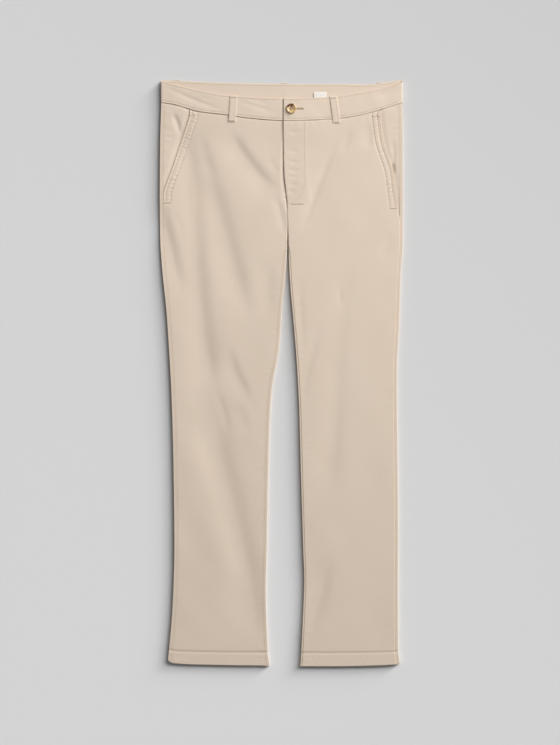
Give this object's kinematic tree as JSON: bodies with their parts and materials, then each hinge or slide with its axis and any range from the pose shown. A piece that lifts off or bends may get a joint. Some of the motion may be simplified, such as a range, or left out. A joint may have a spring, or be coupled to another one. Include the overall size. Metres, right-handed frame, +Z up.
{
  "type": "chino trousers",
  "caption": "Flat-front cotton chino trousers laid flat on their back, with slant front pockets, a buttoned fly and belt loops on the waistband.",
  "frame": {"origin": "middle of the underside of the laid garment's bounding box", "axes": "+Y from the hems to the waist, +X to the wearer's left side, +Z up off the surface the garment lies on, front side up"},
  "size_m": [0.4455, 1.0721, 0.0115],
  "materials": {
    "cotton_twill": "matt brushed cotton twill, light sand",
    "zip_tape": "woven tape",
    "horn_button": "mottled horn look, semi-gloss",
    "thread": "wound sewing thread",
    "satin_tab": "woven satin, blank"
  },
  "bodies": {
    "root": {"front_right": "cotton_twill", "front_left": "cotton_twill", "back_right": "cotton_twill", "back_left": "cotton_twill", "pocket_facing_right": "cotton_twill", "pocket_facing_left": "cotton_twill", "waistband_right": "cotton_twill", "waistband_left": "cotton_twill", "belt_loop_front_right": "cotton_twill", "belt_loop_front_left": "cotton_twill", "belt_loop_back_right": "cotton_twill", "belt_loop_back_centre": "cotton_twill", "belt_loop_back_left": "cotton_twill", "zip": "zip_tape", "button": "horn_button", "button_shank": "thread", "size_tab": "satin_tab"}
  },
  "joints": []
}
